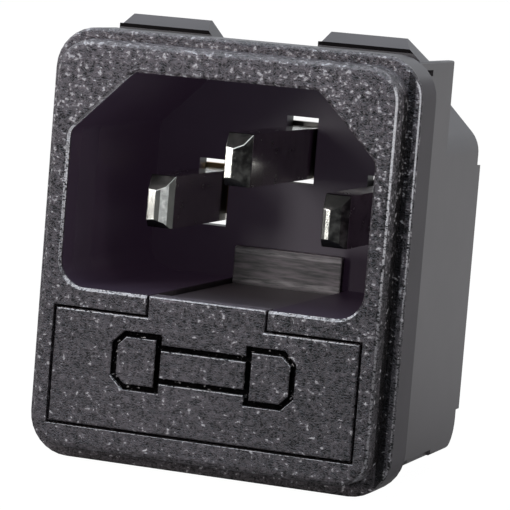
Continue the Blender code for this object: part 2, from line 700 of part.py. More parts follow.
def make_tab(name, x, z, material):
    """A folded sheet: a foot behind the bulkhead, with the rivet's hole, and a blade that runs back."""
    low, end = z - RIVET_HEAD_RADIUS - GAP - TAB_SHEET, SHEET_FRONT + TAB_LENGTH
    sheet = [(SHEET_FRONT, low, TAB_BEND + TAB_SHEET), (end, low, 0), (end, low + TAB_SHEET, 0),
             (SHEET_FRONT + TAB_SHEET, low + TAB_SHEET, TAB_BEND),
             (SHEET_FRONT + TAB_SHEET, z + TAB_FOOT / 2, 0), (SHEET_FRONT, z + TAB_FOOT / 2, 0)]
    bm = bmesh.new()
    prism(bm, outline(sheet), x - TAB_WIDTH / 2, x + TAB_WIDTH / 2, "X")
    tab = add_object(name, bm, material)
    bm = bmesh.new()
    cylinder(bm, (x, SHEET_FRONT, z), RIVET_RADIUS + GAP, 4 * TAB_SHEET, "Y")
    cut_from(tab, name + "_rivet_hole", bm)
    bm = bmesh.new()
    for side in (-1, 1):
        edge = x + side * (TAB_WIDTH / 2)
        wedge = [(edge - side * TAB_CORNER, end + OVERLAP), (edge + side * OVERLAP, end + OVERLAP),
                 (edge + side * OVERLAP, end - TAB_CORNER)]
        prism(bm, wedge, low - OVERSHOOT, low + TAB_SHEET + OVERSHOOT, "Z")
    cylinder(bm, (x, end - TAB_HOLE_INSET, low), TAB_HOLE_RADIUS, 4 * TAB_SHEET, "Z")
    cut_from(tab, name + "_end", bm)
    return tab


def clip_profile(tail_end):
    """Side view of a spring clip: an open ring round the fuse cap, flared at its mouth, with a tail."""
    inner, outer = CLIP_RADIUS, CLIP_RADIUS + CLIP_SHEET

    def at(radius, turn, run=0.0):
        y = FUSE_CENTRE + radius * cos(radians(turn)) - run
        z = radius * sin(radians(turn)) + (run if turn > 0 else -run)
        return (y, DRAWER_CENTRE + z)

    root = degrees(asin(CLIP_SHEET / 2 / outer))
    arc = [root + (CLIP_ANGLE - root) * step / CLIP_STEPS for step in range(CLIP_STEPS + 1)]
    below = [at(outer, -turn) for turn in reversed(arc)]
    above = [at(outer, turn) for turn in arc]
    inside = [at(inner, CLIP_ANGLE * (1 - step / CLIP_STEPS)) for step in range(2 * CLIP_STEPS + 1)]
    tail = [(tail_end, DRAWER_CENTRE - CLIP_SHEET / 2), (tail_end, DRAWER_CENTRE + CLIP_SHEET / 2)]
    upper_lip = [at(outer, CLIP_ANGLE, CLIP_FLARE), at(inner, CLIP_ANGLE, CLIP_FLARE)]
    lower_lip = [at(inner, -CLIP_ANGLE, CLIP_FLARE), at(outer, -CLIP_ANGLE, CLIP_FLARE)]
    return below + tail + above + upper_lip + inside + lower_lip


def make_clip(name, x, tail_end, material):
    bm = bmesh.new()
    prism(bm, clip_profile(tail_end), x - CLIP_WIDTH / 2, x + CLIP_WIDTH / 2, "X")
    return add_object(name, bm, material)


def make_left_clip(material):
    """The working fuse's left clip, with a strip behind the bulkhead that reaches up to the line pin."""
    x, sheet_back = -CLIP_CENTRE, SHEET_FRONT + CLIP_SHEET
    clip = make_clip("fuse_clip_left", x, sheet_back, material)
    _, pin_x, pin_z, _ = pin_places()[0]
    outer = -(COLLAR_WIDTH / 2 - SIDE_WALL - LINK_INSET)
    inner = pin_x - PIN_WIDTH / 2 - GAP - LINK_CLEAR
    end, arm_end = x + CLIP_WIDTH / 2, pin_x + TAB_FOOT / 2
    low, foot_top = DRAWER_CENTRE - LINK_FOOT, DRAWER_CENTRE + LINK_FOOT
    arm_low, arm_top = pin_z - TAB_FOOT / 2, pin_z + TAB_FOOT / 2
    bm = bmesh.new()
    strip = [(outer, low), (end, low), (end, foot_top), (inner, foot_top),
             (inner, arm_low), (arm_end, arm_low), (arm_end, arm_top), (outer, arm_top)]
    prism(bm, strip, SHEET_FRONT, sheet_back)
    add_to(clip, "line_link", bm)
    bm = bmesh.new()
    cylinder(bm, (pin_x, SHEET_FRONT, pin_z), RIVET_RADIUS + GAP, 4 * CLIP_SHEET, "Y")
    cut_from(clip, "line_link_hole", bm)
    return clip


def make_right_clip(material):
    """The working fuse's right clip, whose tail widens behind the bulkhead into the line terminal."""
    clip = make_clip("fuse_clip_right", CLIP_CENTRE, SHEET_FRONT + OVERLAP, material)
    end = SHEET_FRONT + TAB_LENGTH
    bm = bmesh.new()
    prism(bm, blade_outline(CLIP_CENTRE, SHEET_FRONT, end), DRAWER_CENTRE - CLIP_SHEET / 2,
          DRAWER_CENTRE + CLIP_SHEET / 2, "Z")
    add_to(clip, "line_blade", bm)
    bm = bmesh.new()
    cylinder(bm, (CLIP_CENTRE, end - TAB_HOLE_INSET, DRAWER_CENTRE), TAB_HOLE_RADIUS, 4 * CLIP_SHEET, "Z")
    cut_from(clip, "line_blade_hole", bm)
    return clip


def make_fuse(names, y, glass, metal, wire_metal):
    """A glass cartridge fuse that lies across the drawer: tube, two cup-shaped end caps and the wire."""
    centre = (0.0, y, DRAWER_CENTRE)
    end = FUSE_LENGTH / 2
    floor = end - FUSE_CAP_WALL
    bore = FUSE_CAP_RADIUS - FUSE_CAP_WALL
    tube_name, left_name, right_name, wire_name = names

    tube_end, tube_radius = floor - CAP_GAP, bore - CAP_GAP
    bm = bmesh.new()
    turned(bm, [(-tube_end, tube_radius), (tube_end, tube_radius), (tube_end, tube_radius - FUSE_GLASS_WALL),
                (-tube_end, tube_radius - FUSE_GLASS_WALL)], centre)
    pieces = [add_object(tube_name, bm, glass)]
    for side, name in ((-1, left_name), (1, right_name)):
        mouth = end - FUSE_CAP_LENGTH
        cup = [(end, 0.0), (end, FUSE_CAP_RADIUS), (mouth, FUSE_CAP_RADIUS), (mouth, bore), (floor, bore),
               (floor, 0.0)]
        bm = bmesh.new()
        turned(bm, [(side * x, radius) for x, radius in cup], centre)
        pieces.append(add_object(name, bm, metal))
    bm = bmesh.new()
    wire = [(-tube_end, 0.0), (-tube_end, FUSE_WIRE_RADIUS), (tube_end, FUSE_WIRE_RADIUS), (tube_end, 0.0)]
    turned(bm, wire, centre, WIRE_STEPS)
    pieces.append(add_object(wire_name, bm, wire_metal))
    return pieces


def add_datum(drawer_pieces):
    """Lifts everything to the mounting face's origin, and hangs the drawer on an empty on its own slide."""
    datum = bpy.data.objects.new("panel_datum", None)
    slide = bpy.data.objects.new("drawer_slide", None)
    for item in list(bpy.data.objects):
        if item not in (datum, slide):
            item.parent = datum
    for item in (datum, slide):
        bpy.context.scene.collection.objects.link(item)
    datum.location.z = COLLAR_HEIGHT / 2 + DATUM_BELOW
    slide.parent = datum
    slide.location.z = DRAWER_CENTRE
    for item in drawer_pieces:
        item.parent = slide
        item.location.z = -DRAWER_CENTRE


def main():
    clear_scene()
    plastic = make_material("black_polyamide", (0.028, 0.026, 0.03), 0.5)
    nickel = make_material("nickel_plate", (0.72, 0.69, 0.63), 0.25, 1.0)
    tin = make_material("tinned_brass", (0.62, 0.6, 0.55), 0.35, 1.0)
    bronze = make_material("spring_bronze", (0.6, 0.4, 0.2), 0.35, 1.0)
    glass = make_material("fuse_glass", (0.9, 0.94, 0.93), 0.05, 0.0, 0.25)
    wire = make_material("fuse_wire", (0.7, 0.7, 0.7), 0.3, 1.0)

    make_housing(plastic)
    drawer = make_drawer(plastic)
    for name, x, z, tip in pin_places():
        make_pin(name, x, z, tip, nickel)
    for name, x, z, _ in pin_places()[1:]:
        make_tab(name.replace("pin", "tab"), x, z, tin)
    make_left_clip(bronze)
    make_right_clip(bronze)
    pieces = make_fuse(("fuse_tube", "fuse_cap_left", "fuse_cap_right", "fuse_wire"),
                       FUSE_CENTRE, glass, nickel, wire)
    pieces += make_fuse(("spare_tube", "spare_cap_left", "spare_cap_right", "spare_wire"),
                        SPARE_CENTRE, glass, nickel, wire)
    add_datum([drawer] + pieces)


main()
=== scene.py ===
from math import copysign, cos, radians, sin

import bmesh
import bpy
from bpy.props import FloatProperty, FloatVectorProperty, PointerProperty
from mathutils import Matrix, Vector


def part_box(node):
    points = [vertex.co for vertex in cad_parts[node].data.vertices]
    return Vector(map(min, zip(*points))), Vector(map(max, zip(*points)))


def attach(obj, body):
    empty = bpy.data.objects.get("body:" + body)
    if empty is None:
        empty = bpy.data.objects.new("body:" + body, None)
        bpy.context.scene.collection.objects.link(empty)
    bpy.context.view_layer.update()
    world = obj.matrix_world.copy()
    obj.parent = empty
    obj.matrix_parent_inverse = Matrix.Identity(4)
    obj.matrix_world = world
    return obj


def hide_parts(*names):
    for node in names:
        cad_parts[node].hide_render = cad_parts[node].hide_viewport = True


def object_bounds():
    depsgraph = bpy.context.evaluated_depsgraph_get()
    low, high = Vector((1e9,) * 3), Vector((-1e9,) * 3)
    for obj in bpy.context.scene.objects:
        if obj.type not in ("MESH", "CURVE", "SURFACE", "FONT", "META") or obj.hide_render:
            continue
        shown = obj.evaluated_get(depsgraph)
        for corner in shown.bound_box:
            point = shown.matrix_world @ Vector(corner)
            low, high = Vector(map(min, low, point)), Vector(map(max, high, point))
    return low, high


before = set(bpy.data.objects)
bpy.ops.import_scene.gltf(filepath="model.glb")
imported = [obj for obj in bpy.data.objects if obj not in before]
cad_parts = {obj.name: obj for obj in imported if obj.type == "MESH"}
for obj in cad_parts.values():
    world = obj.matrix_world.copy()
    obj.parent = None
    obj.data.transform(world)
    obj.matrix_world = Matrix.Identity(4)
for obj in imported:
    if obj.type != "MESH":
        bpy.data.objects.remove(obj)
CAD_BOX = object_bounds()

bl_info = {
    "name": "Power Entry Module Finish",
    "version": (1, 0, 0),
    "blender": (4, 5, 0),
    "location": "View3D > Sidebar > Inlet",
    "description": "Dresses a snap-in mains inlet: moulded plastic, blades, terminals, fuses",
    "category": "Object",
}

MM = 0.001
HOUSING_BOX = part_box("housing")
DRAWER_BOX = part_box("fuse_drawer")
BLADES = ("line_pin", "neutral_pin", "earth_pin")

# Places on the moulding, in the part's own frame or from its front
INLET_HALF = 11.95 * MM
INLET_FLOOR = 12.25 * MM
INLET_TOP = 28.7 * MM
BULKHEAD_FRONT = 12.3 * MM
HOUSING_GRAIN_DEPTH = 2.4 * MM
DRAWER_GRAIN_DEPTH = 0.8 * MM
FACE_SLAB = 1.6 * MM
SHOULDER = 10.555 * MM
TAB_HALF = 4.48 * MM
SIGN_FLOOR = 0.3 * MM
SIGN_HALF_WIDTH = 7.3 * MM
SIGN_HALF_HEIGHT = 2.25 * MM
SIGN_LEVEL = 7.32 * MM
RAIL_TOP = 12.0 * MM
REBATE_TOP = 0.94 * MM
REBATE_END = 6.2 * MM
BEZEL_HALF = 13.4 * MM
LATCH_FOOT = 31.56 * MM
SILL_LEVEL = 13.0 * MM

# Small changes to the CAD's shapes, and scales of the edge radius
SIGN_EXTRA = 0.25 * MM
SIGN_DEEP_HALF = 6.91 * MM
FOOT_RISE = 0.75 * MM
SLOT_HALF = 2.8 * MM
SLOT_SEEN_HALF = 2.45 * MM
FRONT_EDGE_SCALE = 1.4
SHEET_EDGE_SCALE = 0.7
CAP_EDGE = 0.1 * MM
FLAT_FACE_WEIGHT = 100

# How near to a level a vertex counts as on it
MERGE = 0.001 * MM
ON_FACE = 0.01 * MM
ON_SLOT_END = 0.02 * MM
ON_LEVEL = 0.05 * MM
ON_OUTLINE = 0.25 * MM

# Angles in degrees between two faces. Up to the first they are joined to one face, and past the second
# their edge is sharp in the shading. Past the others, which are for kinds of pieces, it is rounded.
FLAT_ANGLE = 1.0
SMOOTH_ANGLE = 50.0
MOULDED_ANGLE = 28.0
BLADE_ANGLE = 8.0
CAP_ANGLE = 60.0

# The ground tip of a blade: half sizes of the blade, then its cuts as pairs of (across or up, depth)
BLADE_HALF = (1.0 * MM, 2.0 * MM)
TIP_PLAN = [((-1.0 * MM, 0.04 * MM), (-0.38 * MM, 0.0)),
            ((-0.38 * MM, 0.0), (0.38 * MM, 0.15 * MM)),
            ((0.38 * MM, 0.15 * MM), (1.0 * MM, 0.5 * MM))]
TIP_TOP = ((0.8 * MM, 0.0), (2.0 * MM, 0.5 * MM))
TIP_BOTTOM = ((-2.0 * MM, 0.4 * MM), (-1.4 * MM, 0.0))

# In what follows, a SPAN is where a mask is full, from and to, and may end with the width over which it
# fades outside them. Any other pair is where a mask starts and where it is full.

# The moulding's grain, its bright specks that are painted glints, and how far painted shade darkens it
SOFT = 0.03 * MM
GRAIN_FADE = 0.15 * MM
GRAIN_SQUEEZE = (1.0, 1.0, 1.5)
WORM_CONTRAST = 6.0
WORM_TONE = 1.6
WORM_LOSS = 0.7
COARSE_GRAINS = 1.7
COARSE_TONE = 3.4
BLOTCH_GRAINS = 12.0
BLOTCH_TONE = 0.5
GRAIN_LEAST = 0.65
GRAIN_GAIN = 0.5
GRAIN_RISE = (4.0 * MM, 31.0 * MM)
SPECK_CUT = (0.67, 0.8)
SPECK_CLUMPS = 0.8
SPECK_RISE = 0.07
SPECK_SHARE = 0.6
HIGHLIGHT_COLOUR = (0.52, 0.48, 0.48)
PIT_METALLIC = 0.35
BUMP_DEPTH = 0.06 * MM
DARKEST_TONE = 0.08
PAINTED_SHADE_SHARE = 0.95

# How far a face looks along an axis, where 1 is straight along it
TILTED = (0.3, 0.5)
NEARLY_STRAIGHT = (0.8, 0.95)
STRAIGHT_UP = (0.85, 0.97)
STRAIGHT = (0.9, 0.97)

# The moulding's painted light and shade, its painted highlights, and its roughness
LIT_RISE = (20.0 * MM, 31.0 * MM)
LIT_TONE = 0.6
SHADED_SIDE = (-4.0 * MM, 12.0 * MM)
SHADED_TONE = 0.35
LIP_SHINE_WORMS = (0.1, 0.6)
LIP_SHINE_SHARE = 0.9
FLANK_SPAN = (0.58, 0.74, 0.12)
FLANK_TILT = (0.2, 0.4)
FLANK_RISE = (10.0 * MM, 25.0 * MM)
FLANK_LEAST = 0.2
SHINE_WORMS = (0.1, 0.7)
SHINE_RISE = (20.0 * MM, 26.0 * MM)
LIP_LEAST = 0.12
TOP_LIGHT_TONE = 1.3
ROUGH_GRAIN = 0.2
ROUGH_WORMS = 0.25
ROUGH_SPECKS = 0.15
ROUGH_HIGHLIGHT = 0.2
ROUGH_SIDES = 0.25

# The inlet's inner walls, painted darker as shade and given a faint painted glow, and the painted shade of
# the pocket beside the drawer's lug
CAVITY_MARGIN = 0.5 * MM
CAVITY_FADE = 0.3 * MM
CAVITY_OUTWARD = (1.0 * MM, 2.0 * MM)
CAVITY_GLOW = (0.0066, 0.0038, 0.0074)
POCKET_SIDE = (4.0 * MM, 4.8 * MM)
POCKET_TOP = (14.6 * MM, 16.6 * MM)
POCKET_DEPTH = (5.0 * MM, 9.0 * MM)
POCKET_SHADE = 0.8

# Painted shade on the housing: the bezel's foot, from BEZEL_HALF and behind the front, and the latches'
# fronts just behind the flange
FOOT_SPAN = (-0.1 * MM, 0.4 * MM, 0.1 * MM)
FOOT_START = 1.2 * MM
FOOT_SHADE = 0.7
NOTCH_SPAN = (0.3 * MM, 0.7 * MM)

# The drawer's sign grooves, behind the front, darkened with painted shade, its scratched lug, and painted
# highlights on the lug's corners and its two edges
GROOVE_SPAN = (0.12 * MM, 0.8 * MM)
SCRATCH_PULL = (0.12, 1.0, 1.0)
SCRATCH_WIDTH = 0.12 * MM
SCRATCH_TONE = 9.0
LUG_TONE = 0.7
LUG_CORNER = (0.05, 0.15)
LUG_TOP_SPAN = (14.45 * MM, 14.65 * MM, 0.1 * MM)
LUG_FOOT_SPAN = (12.2 * MM, 12.5 * MM, 0.15 * MM)
LUG_EDGE_SCRATCHES = (0.3, 0.7)
LUG_EDGE_SHARE = 0.3

# Drawn metal: its lines and smudges
LINE_PULL = (1.0, 0.06, 1.0)
LINE_WIDTH = 0.05 * MM
LINE_ROUGH = 0.12
LINE_BUMP = 0.5
SMUDGE_SIZE = 0.6 * MM
SMUDGE_CUT = (0.45, 0.75)
SMUDGE_TONE = 0.35
SMUDGE_ROUGH = 0.25
METAL_BUMP = 0.006 * MM
# The colour of painted shade on metal
METAL_SHADE = (0.02, 0.018, 0.02)

# The blades' tips. Their places are across the module: the left blade's at -7, the right one's at 7 mm.
FRONTAL = (0.6, 0.75)
FACET_TURN = (0.0, 0.1)
FACET_TILT = (0.1, 0.2)
SPOT_SIZE = 0.3 * MM
SPOT_CUT = (0.35, 0.75)
SPOT_LOSS = 0.35
# Painted shade on the tips: more on the middle and right blades than on the left one, less in spots, full
# on bevels and on a strip of the right blade's tip
TIP_SHADE_SIDE = (-6.0 * MM, -4.0 * MM)
TIP_SHADE_LEAST = 0.5
TIP_SHADE_GAIN = 0.45
BEVEL_FRONTAL = (0.3, 0.5)
BEVEL_TILT = (0.2, 0.3)
BEVEL_SHARE = 0.93
CORNER_SPAN = (5.0 * MM, 6.28 * MM, 0.02 * MM)
CORNER_SHARE = 0.9
# Painted highlights: on upturned faces of the left and middle tips, on a strip of the left blade's tip, and
# on the right blade's top face
RIDGE_SPAN = (0.08, 0.3, 0.03)
RIDGE_SIDE = (4.0 * MM, 5.0 * MM)
RIDGE_SHARE = 0.9
GLINT_SPAN = (-7.0 * MM, -6.45 * MM, 0.05 * MM)
GLINT_LEAST = 0.5
GLINT_GAIN = 0.4
TOP_HIGHLIGHT_SIDE = (5.0 * MM, 5.5 * MM)
TOP_HIGHLIGHT_DEPTH = (1.5 * MM, 6.0 * MM)
BLADE_HIGHLIGHT_COLOUR = (0.85, 0.84, 0.8)

# Glass and wire of the fuses
GLASS_COLOUR = (0.95, 0.98, 0.97)
GLASS_REFRACTION = 1.47
GLASS_LEAST_ROUGH = 0.02
GLASS_STREAK_ROUGH = 0.04
GLASS_STREAK_SIZE = 2.0 * MM
WIRE_COLOUR = (0.7, 0.68, 0.64)

# The lamps: place, width, height and colour. All but the front one aim at the module's middle.
WHITE = (1.0, 1.0, 1.0)
TOP_LAMP = ((-0.05, -0.10, 0.40), 0.25, 0.25, (0.66, 0.84, 1.0))
FRONT_LAMP = ((-0.19, -0.36, 0.13), 0.07, 0.26, WHITE)
RIGHT_LAMP = ((0.34, -0.13, 0.10), 0.03, 0.3, WHITE)
LEFT_LAMP = ((-0.38, -0.06, 0.12), 0.3, 0.3, WHITE)
MODULE_MIDDLE = (CAD_BOX[0] + CAD_BOX[1]) / 2
FRONT_LAMP_AIM = (-0.01, 0.0, 0.02)

# The floor and the room. A mirror sees less of them in front of the module than behind it.
FLOOR_HALF = 3.0
FLOOR_COLOUR = (0.82, 0.82, 0.82)
FLOOR_ROUGH = 0.8
FLOOR_BEHIND = (-0.03, 0.1)
FLOOR_SEEN = 1.035
FLOOR_MIRROR_LEAST = 0.1
FLOOR_MIRROR_GAIN = 0.85
FLOOR_SEEN_SHARE = 0.96
FLOOR_MIRROR_SHARE = 0.9
ROOM_AHEAD = (0.05, 0.5)
ROOM_LOSS = 0.85
SKY_COLOUR = (0.93, 0.97, 1.0)

# The photograph's camera: height of the inlet's middle above the origin, then its aim and angles
INLET_LEVEL = 20.42 * MM
AIM_X = 3.411 * MM
AIM_BELOW_INLET = 4.191 * MM
CAMERA_DISTANCE = 226.13 * MM
CAMERA_YAW = 19.70
CAMERA_ELEVATION = 5.956
CAMERA_ROLL = 4.645
CAMERA_LENS = 220.13
CAMERA_SENSOR = 36.0
CAMERA_NEAR = 0.01


class MouldedSettings(bpy.types.PropertyGroup):
    """Black moulded plastic of the housing and the drawer"""
    edge: FloatProperty(name="Edge radius", description="Rounding of every moulded edge",
                        default=0.09 * MM, min=0.0, unit="LENGTH", precision=5)
    colour: FloatVectorProperty(name="Plastic", description="Colour of the moulding", subtype="COLOR",
                                default=(0.040, 0.032, 0.035), min=0.0, max=1.0)
    # Painted shade: the plastic deep in the inlet is given this darker colour
    cavity_shade_colour: FloatVectorProperty(name="Cavity plastic", description="Colour deep in the inlet",
                                       subtype="COLOR", default=(0.031, 0.02, 0.031), min=0.0, max=1.0)
    seam: FloatProperty(name="Seam correction",
                        description="How far the drawer's face is widened all round",
                        default=0.1 * MM, min=0.0, unit="LENGTH", precision=5)
    grain: FloatProperty(name="Grain size", description="Width of one grain of the eroded texture",
                         default=0.15 * MM, min=0.01 * MM, unit="LENGTH", precision=5)
    roughness: FloatProperty(name="Roughness", description="Roughness of the smooth sides",
                             default=0.46, min=0.0, max=1.0, subtype="FACTOR")


class MetalSettings(bpy.types.PropertyGroup):
    """Blades, terminals, clips and fuse caps"""
    edge: FloatProperty(name="Edge radius", description="Rounding of the sheet's and blades' edges",
                        default=0.06 * MM, min=0.0, unit="LENGTH", precision=5)
    nickel: FloatVectorProperty(name="Nickel", description="Colour of the plated blades", subtype="COLOR",
                                default=(0.78, 0.76, 0.7), min=0.0, max=1.0)
    tin: FloatVectorProperty(name="Tin", description="Colour of the tinned terminals", subtype="COLOR",
                             default=(0.66, 0.64, 0.58), min=0.0, max=1.0)
    bronze: FloatVectorProperty(name="Bronze", description="Colour of the spring clips", subtype="COLOR",
                                default=(0.62, 0.42, 0.2), min=0.0, max=1.0)


class StageSettings(bpy.types.PropertyGroup):
    """Floor, light and camera"""
    top_power: FloatProperty(name="Top light", description="Power of the large bluish lamp above",
                             default=1.3, min=0.0, unit="POWER")
    front_power: FloatProperty(name="Front light", description="Power of the small lamp at the front left",
                               default=0.85, min=0.0, unit="POWER")
    side_power: FloatProperty(name="Side lights", description="Power of the lamps at the left and right",
                              default=0.25, min=0.0, unit="POWER")
    sky: FloatProperty(name="Sky", description="Strength of the even light from all round",
                       default=0.45, min=0.0)


class Socket:
    """An output of a shader node that can be used in sums, with numbers on either side."""

    def __init__(self, tree, link):
        self.tree = tree
        self.link = link

    def _math(self, operation, first, second=None):
        values = {0: first} if second is None else {0: first, 1: second}
        return self.tree.node("ShaderNodeMath", {"operation": operation}, values)

    def __add__(self, other):
        return self._math("ADD", self, other)

    def __sub__(self, other):
        return self._math("SUBTRACT", self, other)

    def __mul__(self, other):
        return self._math("MULTIPLY", self, other)

    def __rsub__(self, other):
        return self._math("SUBTRACT", other, self)

    __radd__ = __add__
    __rmul__ = __mul__

    def at_least(self, other):
        return self._math("MAXIMUM", self, other)

    def at_most(self, other):
        return self._math("MINIMUM", self, other)

    def size(self):
        return self._math("ABSOLUTE", self)

    def between(self, low, high, soft):
        """1 from low to high, and 0 outside."""
        return self.step(low - soft, low) * (1.0 - self.step(high, high + soft))

    def step(self, low, high):
        """0 below low and 1 above high, smooth between."""
        return self.tree.node("ShaderNodeMapRange", {"interpolation_type": "SMOOTHSTEP", "clamp": True},
                              {"Value": self, "From Min": low, "From Max": high})


class Shader:
    """The nodes of a new material, or of the world that is given."""

    def __init__(self, name, world=None):
        self.material = world or bpy.data.materials.new(name)
        self.material.use_nodes = True
        self.nodes = self.material.node_tree.nodes
        self.links = self.material.node_tree.links
        self.surface = self.nodes["Background" if world else "Principled BSDF"]

    def node(self, kind, settings=None, values=None, output=0):
        """Adds a node, with its settings first and then the values or links of its sockets."""
        made = self.nodes.new(kind)
        for key, value in (settings or {}).items():
            setattr(made, key, value)
        for key, value in (values or {}).items():
            self.put(made.inputs[key], value)
        return Socket(self, made.outputs[output])

    def put(self, socket, value):
        """Links a socket to another one, or gives it a value or a colour."""
        if isinstance(value, Socket):
            self.links.new(value.link, socket)
        elif hasattr(value, "__len__") and len(value) == 3 and socket.type == "RGBA":
            socket.default_value = (*value, 1.0)
        else:
            socket.default_value = value

    def set(self, **values):
        """Sets sockets of the surface; base_color=... means Base Color."""
        for key, value in values.items():
            self.put(self.surface.inputs[key.replace("_", " ").title()], value)
        return self

    def place(self):
        """The place on the piece, in Object coordinates."""
        return self.node("ShaderNodeTexCoord", output="Object")

    def rays(self, kind):
        """1 for rays of one kind, such as Is Camera Ray."""
        return self.node("ShaderNodeLightPath", output=kind)

    def axes(self, place):
        """The three parts of a vector."""
        split = self.nodes.new("ShaderNodeSeparateXYZ")
        self.links.new(place.link, split.inputs[0])
        return [Socket(self, split.outputs[i]) for i in range(3)]

    def normal_axes(self):
        """How far the surface looks right, back and up."""
        geometry = self.nodes.new("ShaderNodeNewGeometry")
        return self.axes(Socket(self, geometry.outputs["Normal"]))

    def stretched(self, place, scale):
        """A place with scaled axes: a noise on it is long where the scale is small."""
        return self.node("ShaderNodeMapping", None, {"Vector": place, "Scale": scale})

    def noise(self, place, size, detail=2.0, roughness=0.5):
        """Soft noise with blotches about as wide as size, from 0 to 1."""
        return self.node("ShaderNodeTexNoise", {"noise_dimensions": "3D"},
                         {"Vector": place, "Scale": 0.5 / size, "Detail": detail, "Roughness": roughness})

    def mix(self, share, first, second):
        """A colour between two others."""
        return self.node("ShaderNodeMix", {"data_type": "RGBA"}, {0: share, 6: first, 7: second}, 2)

    def bump(self, height, distance, strength=1.0):
        return self.node("ShaderNodeBump", None,
                         {"Height": height, "Distance": distance, "Strength": strength})


def settings():
    """The values that the sidebar shows."""
    return bpy.context.scene.inlet_finish


def add_piece(name, bm, material, body, nodes):
    """Turns a bmesh into a finished piece that rides on a body and stands for CAD nodes."""
    mesh = bpy.data.meshes.new(name)
    bm.to_mesh(mesh)
    bm.free()
    mesh.materials.append(material)
    mesh.shade_smooth()
    mesh.set_sharp_from_angle(angle=radians(SMOOTH_ANGLE))
    piece = bpy.data.objects.new(name, mesh)
    bpy.context.scene.collection.objects.link(piece)
    weighted = piece.modifiers.new("flat_faces", "WEIGHTED_NORMAL")
    weighted.keep_sharp = True
    weighted.weight = FLAT_FACE_WEIGHT
    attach(piece, body)
    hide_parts(*nodes)


def node_mesh(node):
    """A bmesh of a CAD node with its triangles joined up into flat faces."""
    bm = bmesh.new()
    bm.from_mesh(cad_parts[node].data)
    bmesh.ops.remove_doubles(bm, verts=bm.verts, dist=MERGE)
    bmesh.ops.dissolve_limit(bm, angle_limit=radians(FLAT_ANGLE), use_dissolve_boundaries=False,
                             verts=bm.verts, edges=bm.edges)
    return bm


def round_edges(bm, radius, least=MOULDED_ANGLE, front=None):
    """Rounds every edge where two faces meet at more than the least angle, or only those on the front."""
    sharp = [edge for edge in bm.edges if edge.calc_face_angle(0.0) > radians(least)]
    if front is not None:
        sharp = [edge for edge in sharp if all(vert.co.y < front + ON_FACE for vert in edge.verts)]
    bmesh.ops.bevel(bm, geom=sharp, offset=radius, offset_type="OFFSET", affect="EDGES",
                    segments=2, profile=0.5, material=-1, clamp_overlap=True)


